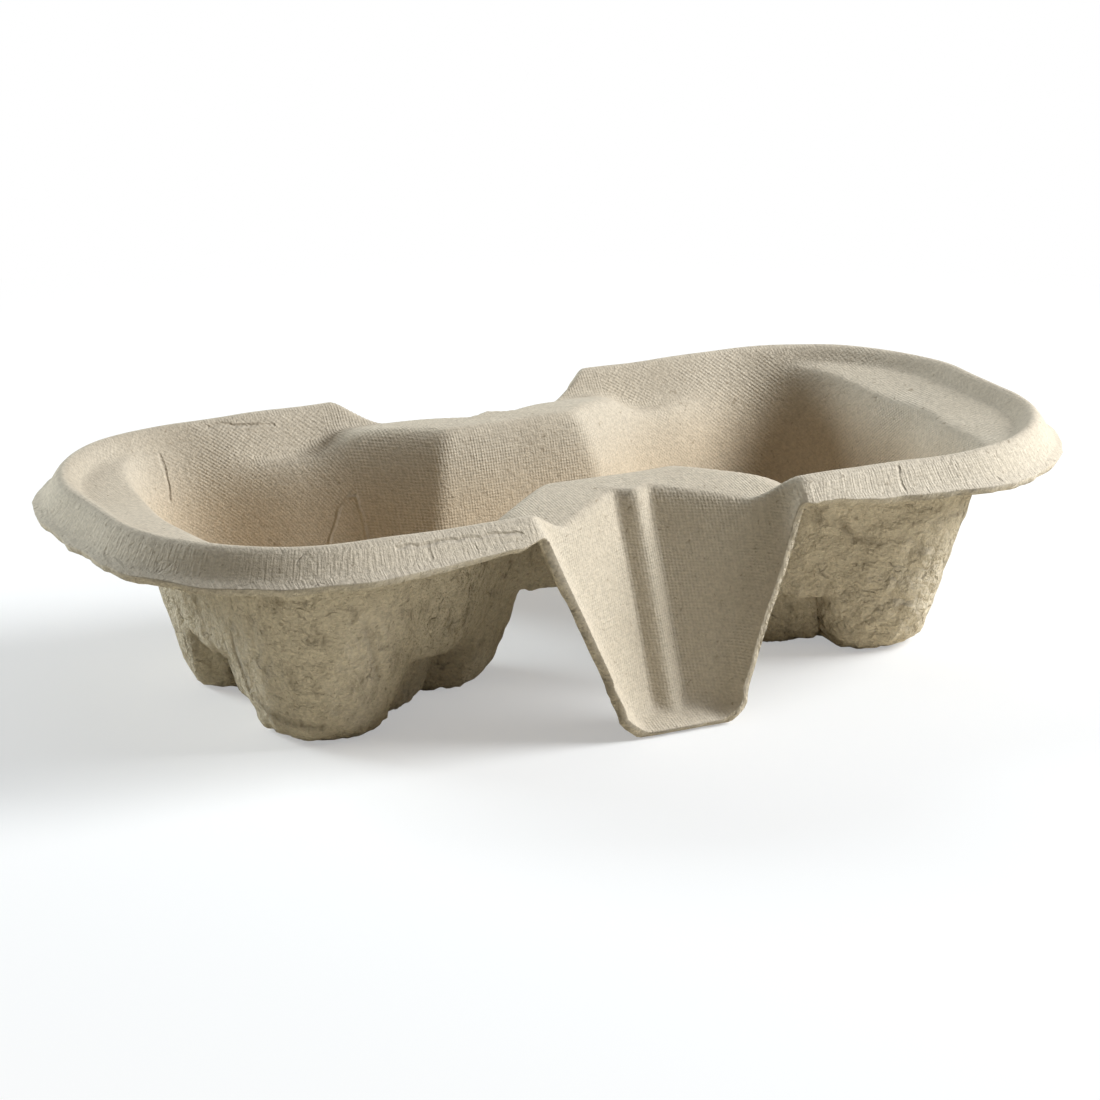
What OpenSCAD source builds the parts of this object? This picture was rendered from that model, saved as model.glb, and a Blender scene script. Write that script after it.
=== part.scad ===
// Moulded-fibre carrier for two cups: one thin sheet pressed into two lobed pockets,
// with a rolled rim, a notch in each long side and a ribbed panel that stands in each notch.
// Millimetres, +Z up, long side along X, centred on the origin, standing on Z = 0.

/* [Sheet] */
// thickness of the pressed sheet
sheet = 2; // [1.4:0.1:2.8]

/* [Rim] */
// length along the top of the rim
rim_len = 206.6; // [190:0.2:225]
// width along the top of the rim
rim_wid = 94; // [90:0.2:100]
// corner radius of the rim seen from above
rim_corner = 37.4; // [30:0.2:42]
// height of the top of the rim
rim_z = 46.9; // [42:0.1:54]
// how far the lip reaches outside the top of the rim
lip_reach = 6.5; // [4:0.1:9]
// how far the lip reaches beside the notch
lip_notch = 4.4; // [3:0.1:6]
// fall of the rim per millimetre outward on the long sides
lip_fall = 1.9; // [1.5:0.05:2.2]
// extra fall at the two ends
lip_fall_end = 0.4; // [0:0.05:0.6]
// distance outside the top of the rim where the lip flares out
flare_from = 4.2; // [3.6:0.1:4.6]
// fall of the flared lip per millimetre outward
flare_fall = 0.5; // [0.3:0.05:0.8]
// roundness of the top of the rim
rim_round = 2.6; // [2:0.1:4]

/* [Ledges] */
// drop of the small step inside the rim at the two ends
step_drop = 2.5; // [1.5:0.1:3.5]
// run of that step
step_run = 6; // [5:0.1:8]
// fall of the end ledge per millimetre inward
ledge_fall = 0.2; // [0.1:0.01:0.3]
// drop from the rim to the shelf beside the notch
shelf_drop = 8.4; // [6:0.1:10]
// run of the slope down to that shelf
shelf_run = 8; // [6:0.1:11]

/* [Pockets] */
// distance from the middle of the tray to the middle of a pocket
pocket_x = 52.5; // [50:0.1:56]
// mean radius of the pocket wall at the floor
pocket_r = 27; // [24:0.1:29]
// how far the three flutes press in and the three lobes swell out
flute_depth = 5; // [3:0.1:6]
// how much the wall between a lobe and a flute is drawn in, which makes the lobes slimmer
lobe_pinch = 0.5; // [0:0.05:0.6]
// wall lean at the ends of the tray, millimetres out per millimetre up
draft_end = 0.3; // [0.22:0.01:0.38]
// wall lean beside the middle of the tray
draft_mid = 0.4; // [0.32:0.01:0.46]
// height of the cup seat at the foot of each flute
seat_z = 15.5; // [12:0.1:18]
// distance from the pocket middle to the inner end of a seat
seat_from = 17; // [14:0.1:20]
// half width of a seat at the floor, measured round the cup
seat_half = 15.5; // [12:0.1:17]
// radius at which that width is measured
seat_circle = 25; // [22:0.1:28]
// lean of the sides of a seat
seat_draft = 0.3; // [0.25:0.01:0.45]

/* [Middle] */
// height of the low saddle that joins the two pockets
saddle_z = 22; // [16:0.1:26]
// half width of the passage between the plateaus, taken down to the floor
passage_half = 7.6; // [5:0.1:9]
// lean of the passage walls
passage_draft = 0.3; // [0.25:0.01:0.36]
// depth of the plateau tops below the rim
plateau_drop = 1.9; // [1:0.1:3]
// outer edge of a plateau, measured inward from the rim
plateau_in = 15; // [13:0.1:17]
// fall of the outer slope of a plateau
plateau_fall = 0.3; // [0.15:0.05:0.5]
// half length of a plateau
plateau_half = 30.5; // [28:0.1:33]
// fall of the sloping ends of a plateau
plateau_end_fall = 1; // [0.8:0.05:1.2]

/* [Side panels] */
// how far the foot of a panel stands outside the top of the rim
panel_out = 8.2; // [7:0.1:9.5]
// how far the middle fold of a panel stands outside the top of the rim, taken down to the ground
panel_fold = 0; // [-1:0.1:1]
// panel lean, millimetres out per millimetre down
panel_draft = 0.4; // [0.36:0.005:0.44]
// how far each half of a panel turns forward from its middle fold, per millimetre
panel_vee = 0.6; // [0.45:0.01:0.7]
// rise of the small toe at the foot of a panel
toe_rise = 0.7; // [0.5:0.05:0.9]
// half width of a panel at its foot
panel_half = 11; // [9:0.1:13]
// half width of the notch at the lip
notch_half = 28.4; // [26:0.1:31]
// how far the sides of a panel turn towards the front, per millimetre
panel_skew = 0.15; // [0.1:0.01:0.3]
// how far the middle rib stands off the panel
rib_off = 4.2; // [3.4:0.1:5]
// slope of the flanks of the rib
rib_flank = 1.4; // [1:0.1:2]

/* [Fineness] */
// points along each line from a pocket middle to the edge of the sheet
stations = 12; // [10:1:12]

/* [Hidden] */

half_len = rim_len / 2;
half_wid = rim_wid / 2;
arc_x = half_len - rim_corner;
arc_y = half_wid - rim_corner;
plateau_z = rim_z - plateau_drop;
plateau_y = half_wid - plateau_in;
panel_y = half_wid + panel_out;
// the rim changes from its side form to its end form, counted back from the end of the rim
change_from = 53.7;
change_lip = 8.3;
change_ledge = 15.5;
end_from = half_len - change_from;
end_lip = half_len - change_lip;
end_ledge = half_len - change_ledge;
// how widely two joined forms are rounded into each other
blend_lip = 1.5;
blend_floor = 8;
blend_seat = 6;
blend_seat_wall = 3.5;
blend_passage = 4;
blend_plateau = 2;
blend_panel = 9;
blend_toe = 3;
blend_notch = 3;
blend_rib = 1.6;
blend_mouth = 7;
rib_round = 1.2;
rib_top_gap = 0.5;
lobes = 3;
flute_turn = 360 / lobes;
// the passage is shut off this far from the middle
passage_end = 30;
passage_end_rise = 3;
// the lip beside the notch: the sides of the panel start this far inside its edge
notch_inset = 1.1;
notch_y = half_wid + lip_notch - notch_inset;
notch_z = lip_height(lip_notch, lip_fall);
// slopes of the two turned sides of a panel
side_x = notch_z / (notch_half - panel_half + panel_skew * (panel_y - notch_y));
side_y = side_x * panel_skew;
// half the step used to measure the slope of the sheet
probe = 0.2;

function smin(a, b, k) =
    let (h = max(k - abs(a - b), 0) / k)
    min(a, b) - h * h * k / 4;
function smax(a, b, k) = -smin(-a, -b, k);
function ease(a, b, x) =
    let (q = min(max((x - a) / (b - a), 0), 1))
    q * q * (3 - 2 * q);

function mix(a, b, t) = a + (b - a) * t;
function bow(a, b, c, t) = mix(mix(a, b, t), mix(b, c, t), t);

// height of the lip at a distance outside the top of the rim
function rolled(out, fall) = rim_z - fall * (norm([out, rim_round]) - rim_round);
function lip_height(out, fall) =
    smax(rolled(out, fall), rolled(flare_from, fall) - flare_fall * (out - flare_from), blend_lip);

// distance inward from the top line of the rim
function inward(x, y) =
    let (qx = x - arc_x)
    let (qy = y - arc_y)
    rim_corner - norm([max(qx, 0), max(qy, 0)]) - min(max(qx, qy), 0);

// rim, lip, end ledge and side shelf
function rim(x, y) =
    let (d = inward(x, y))
    let (fall = lip_fall + lip_fall_end * ease(end_from, end_lip, x))
    let (end = rim_z - step_drop * ease(0, step_run, d) - ledge_fall * max(d - step_run / 2, 0))
    let (shelf = rim_z - shelf_drop * ease(0, shelf_run, d))
    d < 0 ? lip_height(-d, fall) : mix(shelf, end, ease(end_from, end_ledge, x));

// one cup seat, at a radius and an angle from the middle line of its flute
function seat(r, turn) =
    let (flank = (seat_half - seat_circle * abs(turn) * PI / 180) / seat_draft)
    let (inner = (r - seat_from) / seat_draft + sheet)
    smin(seat_z, smin(flank, inner, blend_seat), blend_seat);

// three-lobed pocket with its seats
function pocket(x, y) =
    let (dx = x - pocket_x)
    let (r = norm([dx, y]))
    let (a = atan2(y, dx))
    let (draft = (draft_end + draft_mid) / 2 - (draft_mid - draft_end) / 2 * cos(a))
    let (swell = cos(lobes * a) + lobe_pinch * pow(sin(lobes * a), 2))
    let (wall = (r - pocket_r + flute_depth * swell) / draft)
    let (bowl = smax(sheet, wall, blend_floor))
    smax(smax(bowl, seat(r, a), blend_seat_wall), seat(r, a - flute_turn), blend_seat_wall);

// passage between the two plateaus
function passage(x, y) =
    let (walls = smax(saddle_z, (y - passage_half) / passage_draft, blend_passage))
    max(walls, passage_end_rise * (x - passage_end));

// raised island beside each notch
function plateau(x, y) =
    let (front = plateau_z - plateau_fall * (y - plateau_y))
    let (ends = plateau_z - plateau_end_fall * (x - plateau_half))
    smin(plateau_z, smin(front, ends, blend_plateau), blend_plateau);

// panel in the notch, with its two turned sides
function panel(x, y) =
    let (vee = (half_wid + panel_fold + panel_vee * x - y) / panel_draft)
    let (toe = toe_rise * (panel_y - y))
    let (side = side_x * (x - panel_half) + side_y * (panel_y - y))
    smax(smax(vee, toe, blend_toe), side, blend_panel);

// straight rib down the middle of the panel
function rib(x, y) =
    let (low = (half_wid + panel_fold + rib_off - y) / panel_draft)
    let (crown = smin(low, plateau_z - rib_top_gap, blend_plateau))
    crown - rib_flank * (norm([x, rib_round]) - rib_round);

// height of the upper face of the sheet
function face(px, py) =
    let (x = abs(px))
    let (y = abs(py))
    let (raised = smax(rim(x, y), plateau(x, y), blend_plateau))
    let (notched = smin(raised, panel(x, y), blend_notch))
    let (ribbed = smax(notched, rib(x, y), blend_rib))
    smin(ribbed, smin(pocket(x, y), passage(x, y), blend_passage), blend_mouth);

// edge of the sheet round the notch, from its fold to the middle of the panel foot
fold_gap = 5;
fold_x = notch_half + fold_gap;
fold_steps = 4;
toe_steps = 3;
// the foot is trimmed straight and its corners are rounded
foot_trim = 0.1;
foot_y = panel_y - foot_trim;
toe_round = 2;
toe_corner = [1.5, -0.6];
edge_low = [panel_half, panel_y] + toe_corner;
// the lip turns down into the side of the panel
edge_trim = 0.8;
edge_turn = 1.2;
edge_top = [notch_half - edge_trim, notch_y];
edge_bend = [notch_half + edge_turn, half_wid + lip_notch - edge_trim];
side_end = [fold_x, half_wid + lip_notch];

edge_toe = [for (i = [0:toe_steps])
    bow([panel_half - toe_round, foot_y], [panel_half, foot_y], edge_low, i / toe_steps)];
edge_fold = [for (i = [0:fold_steps])
    bow(edge_top, edge_bend, side_end, i / fold_steps)];
notch_edge = concat([[0, foot_y]], edge_toe, edge_fold);

// columns across the middle of the tray: the rib, the foot, the cut edge and the fold
rib_cols = [0, 1, 2, 3.5, 6];
side_cols = 4;
foot_in = 0.5;
foot_out = 2;
cols = concat(
    [for (n = rib_cols) n * rib_round],
    [panel_half - foot_in, panel_half + foot_out],
    [for (i = [1:side_cols]) mix(panel_half + foot_out, notch_half - foot_out, i / side_cols)],
    [notch_half, notch_half + foot_out, fold_x]);
col_last = len(cols) - 1;

// rows of the middle, drawn closer together where the sheet bends
row_last = 20;
row_probe = [4 * rib_round, panel_half + foot_out, notch_half - 3 * foot_out];
samples = 80;
bend_pull = 5;
function place(h, run, count) =
    let (lean = [for (i = [0:samples - 1]) [for (c = h) atan2(c[i + 1] - c[i], run)]])
    let (cost = [for (i = [0:samples - 1])
        let (each_line = [for (c = [0:len(h) - 1])
            norm([run, h[c][i + 1] - h[c][i]])
            + bend_pull * PI / 180 * (i > 0 ? abs(lean[i][c] - lean[i - 1][c]) : 0)])
        each_line * [for (c = h) 1]])
    let (sums = [for (i = 0, s = 0; i <= samples; s = s + (i < samples ? cost[i] : 0), i = i + 1)
        [s, i / samples]])
    [for (j = [0:count]) lookup(sums[samples][0] * j / count, sums)];
row_heights = [for (x = row_probe) [for (i = [0:samples]) face(x, foot_y * i / samples)]];
row_part = place(row_heights, foot_y / samples, row_last);
// rows keep one Y inside this line and close up on the edge of the sheet outside it
row_inset = 7;
row_bend = half_wid - row_inset;
function row_y(x, r) =
    let (y = foot_y * row_part[r])
    y <= row_bend ? y : mix(row_bend, lookup(x, notch_edge), (y - row_bend) / (foot_y - row_bend));

// edge of one pocket's share of a quarter, from the end of the tray to the middle rows
corner_steps = 15;
side_steps = 6;
end_steps = 3;
side_run = 24;
function side_reach(x) = mix(lip_notch, lip_reach, ease(fold_x, fold_x + side_run, x));
edge_end = [for (i = [0:end_steps - 1]) [half_len + lip_reach, arc_y * i / end_steps]];
edge_corner = [for (i = [0:corner_steps])
    let (a = 90 * i / corner_steps)
    [arc_x, arc_y] + (rim_corner + lip_reach) * [cos(a), sin(a)]];
edge_side = [for (i = [1:side_steps - 1])
    let (x = mix(arc_x, fold_x, i / side_steps))
    [x, half_wid + side_reach(x)]];
edge_seam = [for (r = [0:row_last]) [fold_x, row_y(fold_x, row_last - r)]];
edge = concat(edge_end, edge_corner, edge_side, edge_seam);
last = len(edge) - 1;
seam_from = last - row_last;
middle = [pocket_x, 0];
function line_heights(e) = [for (i = [0:samples])
    let (p = mix(middle, e, i / samples))
    face(p[0], p[1])];

function upper(p) = [p[0], p[1], face(p[0], p[1])];
function lower(p) =
    let (gx = (face(p[0] + probe, p[1]) - face(p[0] - probe, p[1])) / (2 * probe))
    let (gy = (face(p[0], p[1] + probe) - face(p[0], p[1] - probe)) / (2 * probe))
    let (q = upper(p) + sheet * [gx, gy, -1] / norm([gx, gy, 1]))
    [q[0], q[1], max(q[2], 0)];

mid_grid = [for (x = cols) [for (r = [0:row_last]) [x, row_y(x, r)]]];
ray_grid = [for (e = edge)
    let (t = place([line_heights(e)], norm(e - middle) / samples, stations))
    [for (j = [0:stations]) mix(middle, e, t[j])]];
function mid_points(low) =
    let (g = [for (col = mid_grid) [for (p = col) low ? lower(p) : upper(p)]])
    [for (c = [-col_last:col_last], r = [-row_last:row_last])
        let (p = g[abs(c)][abs(r)])
        [sign(c) * p[0], sign(r) * p[1], p[2]]];
rays = 2 * last;
function quarter_of(k) = k <= last ? k : rays - k;
function ray_points(low) =
    let (g = [for (line = ray_grid) [for (p = line) low ? lower(p) : upper(p)]])
    [for (sx = [1, -1]) each concat(
        [[sx * g[0][0][0], 0, g[0][0][2]]],
        [for (k = [0:rays - 1], j = [1:stations])
            let (p = g[quarter_of(k)][j])
            [sx * p[0], (k <= last ? 1 : -1) * p[1], p[2]]])];

// numbers of the points in one face
mid_count = (2 * col_last + 1) * (2 * row_last + 1);
half_count = 1 + rays * stations;
face_count = mid_count + 2 * half_count;
function mid_id(c, r) = (c + col_last) * (2 * row_last + 1) + r + row_last;
function ray_id(side, n, j) =
    let (k = (n + rays) % rays)
    let (q = quarter_of(k))
    j == stations && q >= seam_from
    ? mid_id(side == 0 ? col_last : -col_last, (k <= last ? 1 : -1) * (last - q))
    : mid_count + side * half_count + (j == 0 ? 0 : 1 + k * stations + j - 1);

// one triangle, turned over for the mirrored half and for the lower face
function tri(turn, a, b, c) = turn ? [a, b, c] : [a, c, b];
function two(turn, swap, a, b, c, d) = swap
    ? [tri(turn, a, b, d), tri(turn, b, c, d)]
    : [tri(turn, a, b, c), tri(turn, a, c, d)];
function pocket_skin(base, low) = [for (s = [0, 1], k = [0:rays - 1]) each
    let (turn = (s == 1) != low)
    concat(
        [tri(turn, base + ray_id(s, k, 0), base + ray_id(s, k, 1), base + ray_id(s, k + 1, 1))],
        [for (j = [1:stations - 1]) each
            two(turn, k >= last, base + ray_id(s, k, j), base + ray_id(s, k, j + 1),
                base + ray_id(s, k + 1, j + 1), base + ray_id(s, k + 1, j))])];
function middle_skin(base, low) = [
    for (c = [-col_last:col_last - 1], r = [-row_last:row_last - 1]) each
        two(low, (c >= 0) != (r >= 0), base + mid_id(c, r), base + mid_id(c + 1, r),
            base + mid_id(c + 1, r + 1), base + mid_id(c, r + 1))];
// the cut edge of the sheet joins the two faces
function strip(turn, a, b) =
    two(turn, false, a, face_count + a, face_count + b, b);
function ray_strip() = [for (s = [0, 1], k = [0:rays - 1])
    if (quarter_of(k) <= seam_from && quarter_of((k + 1) % rays) <= seam_from)
        each strip(s == 1, ray_id(s, k, stations), ray_id(s, k + 1, stations))];
function middle_strip() = [for (c = [-col_last:col_last - 1], side = [-1, 1])
    each strip(side == 1, mid_id(c, side * row_last), mid_id(c + 1, side * row_last))];

module cup_carrier() {
    color("#c9b796")
    polyhedron(
        points = concat(mid_points(false), ray_points(false), mid_points(true), ray_points(true)),
        faces = concat(
            pocket_skin(0, false), middle_skin(0, false),
            pocket_skin(face_count, true), middle_skin(face_count, true),
            ray_strip(), middle_strip()),
        convexity = 8);
}

cup_carrier();
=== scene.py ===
# %% [markdown]
# # A moulded-fibre carrier for two cups
# The real tray is one sheet of paper pulp, sucked wet onto a wire screen and dried. The upper face keeps
# the print of the screen, the lower face stays rough. This lesson lays out a flat grid, presses it into
# the tray with one height function, gives it the thickness of the sheet and finishes the two faces.

import math

import bmesh
import bpy
import numpy as np
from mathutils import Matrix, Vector, noise


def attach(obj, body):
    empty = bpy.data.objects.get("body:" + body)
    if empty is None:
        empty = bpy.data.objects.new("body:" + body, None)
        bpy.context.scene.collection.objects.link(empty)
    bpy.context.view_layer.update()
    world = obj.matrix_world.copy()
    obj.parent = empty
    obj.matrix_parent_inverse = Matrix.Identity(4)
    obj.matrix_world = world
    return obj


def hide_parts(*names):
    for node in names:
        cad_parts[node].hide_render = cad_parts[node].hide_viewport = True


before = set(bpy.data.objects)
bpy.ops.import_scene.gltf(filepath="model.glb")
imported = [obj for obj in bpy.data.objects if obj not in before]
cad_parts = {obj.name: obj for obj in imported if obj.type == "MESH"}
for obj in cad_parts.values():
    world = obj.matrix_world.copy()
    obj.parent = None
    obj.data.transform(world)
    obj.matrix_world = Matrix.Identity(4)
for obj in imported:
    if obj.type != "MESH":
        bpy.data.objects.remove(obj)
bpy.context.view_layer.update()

# %% [markdown]
# The sizes of the mould, in millimetres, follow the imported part: rim, pockets, middle and panels. A few,
# such as the toe of the panel, the rib and the small step inside the rim, are drawn finer here than in
# the solid. The forms could be measured back from the frame, but a list of driving sizes reads better.

# %% Sizes of the mould
SHEET = 2.0
RIM = dict(length=103.3, width=47.0, corner=37.4, z=46.9, round=2.6)
LIP = dict(reach=6.5, notch=4.4, fall=1.9, fall_end=0.4, flare_from=4.2, flare_fall=0.5)
CHANGE = dict(start=49.6, lip=95.0, ledge=87.8, side_run=24.0)
LEDGE = dict(step=2.7, run=4.4, fall=0.2, shelf=8.4, shelf_run=8.0)
POCKET = dict(x=52.5, r=27.0, flute=5.0, pinch=0.5, draft_end=0.30, draft_mid=0.40)
SEAT = dict(z=15.5, start=17.0, half=15.5, circle=25.0, draft=0.30)
PASSAGE = dict(z=22.0, half=7.6, draft=0.30, end=30.0, rise=3.0)
PLATEAU = dict(z=45.0, y=32.0, fall=0.3, half=27.5, end_fall=0.6)
PANEL = dict(y=55.2, fold=47.0, draft=0.40, vee=0.6, toe=0.3, toe_z=1.2,
             half=11.0, notch=28.4, skew=0.15)
RIB = dict(off=4.2, flank=1.7, round=0.9, gap=0.4)
CUT = dict(fold=5.0, foot=0.1, notch=1.1, straight=2.0, corner=1.5, rise=0.6, top=0.8, bend=1.2, bend_in=0.8)
FOLD_X = PANEL["notch"] + CUT["fold"]
FOOT_Y = PANEL["y"] - CUT["foot"]
ARC = (RIM["length"] - RIM["corner"], RIM["width"] - RIM["corner"])
print("mould", 2 * RIM["length"], "x", 2 * RIM["width"], "x", RIM["z"], "mm, sheet", SHEET, "mm")


# %% [markdown]
# A mould has no sharp corners. Two heights are joined with a soft minimum or maximum, which rounds the
# edge between them, so each form can be described on its own. A bevel after the modelling could round the
# edges too, but not with a different width at each join. BLEND says how wide each join is.

# %% Soft joins
BLEND = dict(lip=1.5, seat=4.0, bowl=8.0, seat_foot=2.5, passage=4.0, plateau_edge=2.0, plateau=3.0,
             toe=3.0, side=9.0, rib_top=1.2, raised=2.5, notch=3.0, rib=1.0, middle=4.0, mouth=8.0)


def soft_min(a, b, k):
    h = np.maximum(k - np.abs(a - b), 0) / k
    return np.minimum(a, b) - h * h * k / 4


def soft_max(a, b, k):
    return -soft_min(-a, -b, k)


def ease(a, b, x):
    q = np.clip((x - a) / (b - a), 0, 1)
    return q * q * (3 - 2 * q)


print("joins", len(BLEND), "from", min(BLEND.values()), "to", max(BLEND.values()), "mm wide")

# %% [markdown]
# The rim is a bead that turns down outside into the lip. Inside it there is a small step and a sloping
# ledge at the two ends, and a steeper slope down to a shelf beside the notches.

# %% Rim, lip and ledges
def rolled(out, fall):
    return RIM["z"] - fall * (np.hypot(out, RIM["round"]) - RIM["round"])


def lip_height(out, fall):
    flared = rolled(LIP["flare_from"], fall) - LIP["flare_fall"] * (out - LIP["flare_from"])
    return soft_max(rolled(out, fall), flared, BLEND["lip"])


def rim_height(x, y):
    qx, qy = x - ARC[0], y - ARC[1]
    corner = np.hypot(np.maximum(qx, 0), np.maximum(qy, 0))
    d = RIM["corner"] - corner - np.minimum(np.maximum(qx, qy), 0)
    lip = lip_height(-d, LIP["fall"] + LIP["fall_end"] * ease(CHANGE["start"], CHANGE["lip"], x))
    step = LEDGE["step"] * ease(0, LEDGE["run"], d)
    end = RIM["z"] - step - LEDGE["fall"] * np.maximum(d - LEDGE["run"] / 2, 0)
    shelf = RIM["z"] - LEDGE["shelf"] * ease(0, LEDGE["shelf_run"], d)
    inside = shelf + (end - shelf) * ease(CHANGE["start"], CHANGE["ledge"], x)
    return np.where(d < 0, lip, inside)


NOTCH_Y = RIM["width"] + LIP["notch"] - CUT["notch"]
NOTCH_Z = lip_height(LIP["notch"], LIP["fall"])
SIDE_X = NOTCH_Z / (PANEL["notch"] - PANEL["half"] + PANEL["skew"] * (PANEL["y"] - NOTCH_Y))
print("lip beside the notch ends at", round(float(NOTCH_Z), 1), "mm")

# %% [markdown]
# Each pocket is a leaning wall with three lobes and three flutes. At the foot of each flute a seat
# stands up from the floor; seen from outside, the seats are the arches between the feet.

# %% Pockets and passage
def seat_height(r, turn):
    flank = (SEAT["half"] - SEAT["circle"] * np.abs(turn)) / SEAT["draft"]
    inner = (r - SEAT["start"]) / SEAT["draft"] + SHEET
    return soft_min(SEAT["z"], soft_min(flank, inner, BLEND["seat"]), BLEND["seat"])


def pocket_height(x, y):
    dx = x - POCKET["x"]
    r = np.hypot(dx, y)
    a = np.arctan2(y, dx)
    mean = (POCKET["draft_end"] + POCKET["draft_mid"]) / 2
    draft = mean - (POCKET["draft_mid"] - POCKET["draft_end"]) / 2 * np.cos(a)
    swell = np.cos(3 * a) + POCKET["pinch"] * np.sin(3 * a) ** 2
    wall = (r - POCKET["r"] + POCKET["flute"] * swell) / draft
    seated = soft_max(SHEET, wall, BLEND["bowl"])
    for middle in (0.0, math.radians(120)):
        seated = soft_max(seated, seat_height(r, a - middle), BLEND["seat_foot"])
    return seated


def passage_height(x, y):
    walls = soft_max(PASSAGE["z"], (y - PASSAGE["half"]) / PASSAGE["draft"], BLEND["passage"])
    return np.maximum(walls, PASSAGE["rise"] * (x - PASSAGE["end"]))


print("pocket floor", pocket_height(POCKET["x"], 0.0), "mm, passage", passage_height(0.0, 0.0), "mm")

# %% [markdown]
# Between the pockets stand two plateaus. In front of each, a panel runs down to the ground in the
# notch: two halves folded along the middle, with a straight rib over the fold.

# %% Plateaus, panels and ribs
def plateau_height(x, y):
    front = PLATEAU["z"] - PLATEAU["fall"] * (y - PLATEAU["y"])
    ends = PLATEAU["z"] - PLATEAU["end_fall"] * (x - PLATEAU["half"])
    return soft_min(PLATEAU["z"], soft_min(front, ends, BLEND["plateau_edge"]), BLEND["plateau"])


def panel_height(x, y):
    vee = (PANEL["fold"] + PANEL["vee"] * x - y) / PANEL["draft"]
    toe = PANEL["toe_z"] + PANEL["toe"] * (PANEL["y"] - y)
    side = SIDE_X * (x - PANEL["half"]) + SIDE_X * PANEL["skew"] * (PANEL["y"] - y)
    return soft_max(soft_max(vee, toe, BLEND["toe"]), side, BLEND["side"])


def rib_height(x, y):
    crest = (PANEL["fold"] + RIB["off"] - y) / PANEL["draft"]
    flanks = crest - RIB["flank"] * (np.hypot(x, RIB["round"]) - RIB["round"])
    return soft_min(flanks, PLATEAU["z"] - RIB["gap"], BLEND["rib_top"])


def press(x, y):
    """Height of the upper face of the tray over the point (x, y), in millimetres."""
    x, y = np.abs(x), np.abs(y)
    raised = soft_max(rim_height(x, y), plateau_height(x, y), BLEND["raised"])
    notched = soft_min(raised, panel_height(x, y), BLEND["notch"])
    ribbed = soft_max(notched, rib_height(x, y), BLEND["rib"])
    hollow = soft_min(pocket_height(x, y), passage_height(x, y), BLEND["middle"])
    return soft_min(ribbed, hollow, BLEND["mouth"])


print("rim", press(RIM["length"], 0.0), "floor", press(POCKET["x"], 0.0), "mm")

# %% [markdown]
# A flat grid stretched over a steep wall gets long faces. So the rows are spread by their length along
# the pressed sheet, with more of them where it bends. Subdividing everywhere would do it too, but would
# spend most of the faces on the flat parts.

# %% Spread the rows along the pressed sheet
SAMPLES = 400


def spread(heights, run, count, pull=3.0):
    """Fractions 0 to 1 that split the lines of heights evenly along the sheet."""
    rise = np.diff(heights, axis=-1)
    lean = np.arctan2(rise, run)
    cost = np.hypot(rise, run)
    cost[..., 1:] += pull * np.abs(np.diff(lean, axis=-1))
    cost = cost.reshape(-1, cost.shape[-1]).sum(0)
    total = np.r_[0, np.cumsum(cost)]
    return np.interp(np.linspace(0, total[-1], count + 1), total, np.linspace(0, 1, len(total)))


def bow(a, b, c, n):
    t = np.linspace(0, 1, n)[:, None]
    a, b, c = np.array(a), np.array(b), np.array(c)
    return (1 - t) ** 2 * a + 2 * t * (1 - t) * b + t * t * c


FOOT_END = (PANEL["half"] - CUT["straight"], FOOT_Y)
EDGE_LOW = (PANEL["half"] + CUT["corner"], PANEL["y"] - CUT["rise"])
EDGE_TOP = (PANEL["notch"] - CUT["top"], NOTCH_Y)
EDGE_BEND = (PANEL["notch"] + CUT["bend"], RIM["width"] + LIP["notch"] - CUT["bend_in"])
EDGE_FOLD = (FOLD_X, RIM["width"] + LIP["notch"])
NOTCH_EDGE = np.concatenate([
    [(0.0, FOOT_Y)],
    bow(FOOT_END, (PANEL["half"], FOOT_Y), EDGE_LOW, 12),
    bow(EDGE_TOP, EDGE_BEND, EDGE_FOLD, 16)])
ROWS = 70
ROW_TRIES = (5.0, 13.0, 23.0)
ROW_STRAIGHT = 7.0
across = np.linspace(0, FOOT_Y, SAMPLES)
row_lines = np.array([press(np.full(SAMPLES, x), across) for x in ROW_TRIES])
ROW_PART = spread(row_lines, FOOT_Y / (SAMPLES - 1), ROWS)
ROW_BEND = RIM["width"] - ROW_STRAIGHT


def row_y(x, part):
    """Y of the row at a fraction of the way out, for a column at x."""
    y = FOOT_Y * part
    edge = np.interp(x, NOTCH_EDGE[:, 0], NOTCH_EDGE[:, 1])
    bent = ROW_BEND + (edge - ROW_BEND) * (y - ROW_BEND) / (FOOT_Y - ROW_BEND)
    return np.where(y <= ROW_BEND, y, bent)


print("rows in the middle", 2 * ROWS)

# %% [markdown]
# The sheet is made of three flat grids: one between the folds of the notches, and one round each
# pocket, whose lines run out from the middle of the pocket like spokes. A single square grid would cut
# across the round walls and show steps there.

# %% Lay out the flat grids
COLUMNS = 44
SPOKES = 62
RINGS = 64
sheet_bm = bmesh.new()
lip_lay = sheet_bm.verts.layers.float.new("lip")
flare_lay = sheet_bm.verts.layers.float.new("flare")
# This mask carries a painted shade: darker, warmer pulp toward the floors.
depth_lay = sheet_bm.verts.layers.float.new("depth")


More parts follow.
